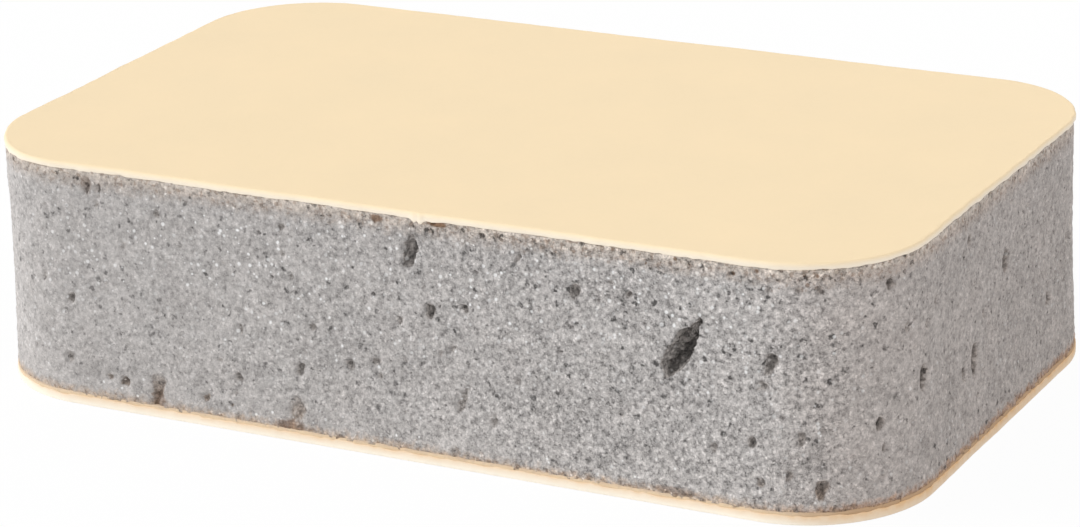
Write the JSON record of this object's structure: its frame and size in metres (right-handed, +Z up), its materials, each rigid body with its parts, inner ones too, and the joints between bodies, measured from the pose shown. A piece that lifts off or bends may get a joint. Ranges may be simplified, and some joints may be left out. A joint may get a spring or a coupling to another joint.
{
  "type": "anti-condensation sponge",
  "caption": "Round-cornered foam block faced on both sides with wiping cloth, held in the hand to wipe condensation off glass.",
  "frame": {"origin": "centre of the lower cloth's underside, where the sponge rests", "axes": "+X along the sponge's length, +Y along its width, +Z up through the cloths and the foam"},
  "size_m": [0.1342, 0.0812, 0.034],
  "materials": {
    "foam": "matt open-cell polymer foam, mid grey, with fine glinting cell edges",
    "cloth": "matt cream nonwoven of chamois type, with a paler cut edge",
    "adhesive": "amber hot-melt film"
  },
  "bodies": {
    "root": {"foam_core": "foam", "upper_cloth": "cloth", "lower_cloth": "cloth", "upper_bond_film": "adhesive", "lower_bond_film": "adhesive"}
  },
  "joints": []
}
